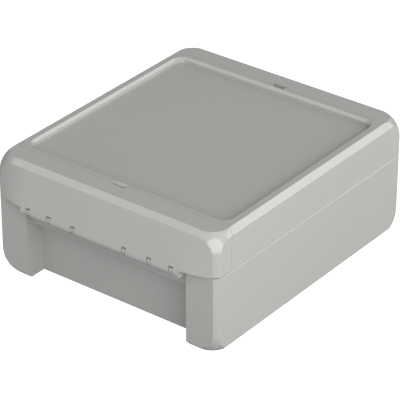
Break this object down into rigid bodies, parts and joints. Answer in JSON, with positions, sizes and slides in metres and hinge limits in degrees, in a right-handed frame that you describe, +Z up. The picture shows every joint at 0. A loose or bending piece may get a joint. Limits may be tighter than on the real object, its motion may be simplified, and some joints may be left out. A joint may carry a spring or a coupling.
{
  "type": "plastic project box with hinged lid",
  "caption": "Low moulded enclosure with a flat recessed lid, chamfered edges and a long closure strip along each end that turns on hooks of the base.",
  "frame": {"origin": "centre of the floor's underside, under the middle of the box", "axes": "+X across the box along the closure strips, +Y along its depth from the front closure to the rear one, +Z up through the lid"},
  "size_m": [0.125, 0.151, 0.06],
  "materials": {
    "shell": "fine satin moulded, light grey",
    "strip": "fine satin moulded, light grey",
    "seal": "dark foamed seal"
  },
  "bodies": {
    "base": {"base": "shell"},
    "front_strip": {"front_closure": "strip"},
    "lid": {"lid": "shell", "gasket": "seal", "rear_closure": "strip"}
  },
  "joints": [
    {"name": "front_closure_hinge", "type": "hinge", "parent": "base", "child": "front_strip", "pos_m": [0, -0.07285, 0.0384], "axis": [1, 0, 0], "range_deg": [0, 95]},
    {"name": "lid_hinge", "type": "hinge", "parent": "base", "child": "lid", "pos_m": [0, 0.07285, 0.0384], "axis": [-1, 0, 0], "range_deg": [0, 105]}
  ]
}
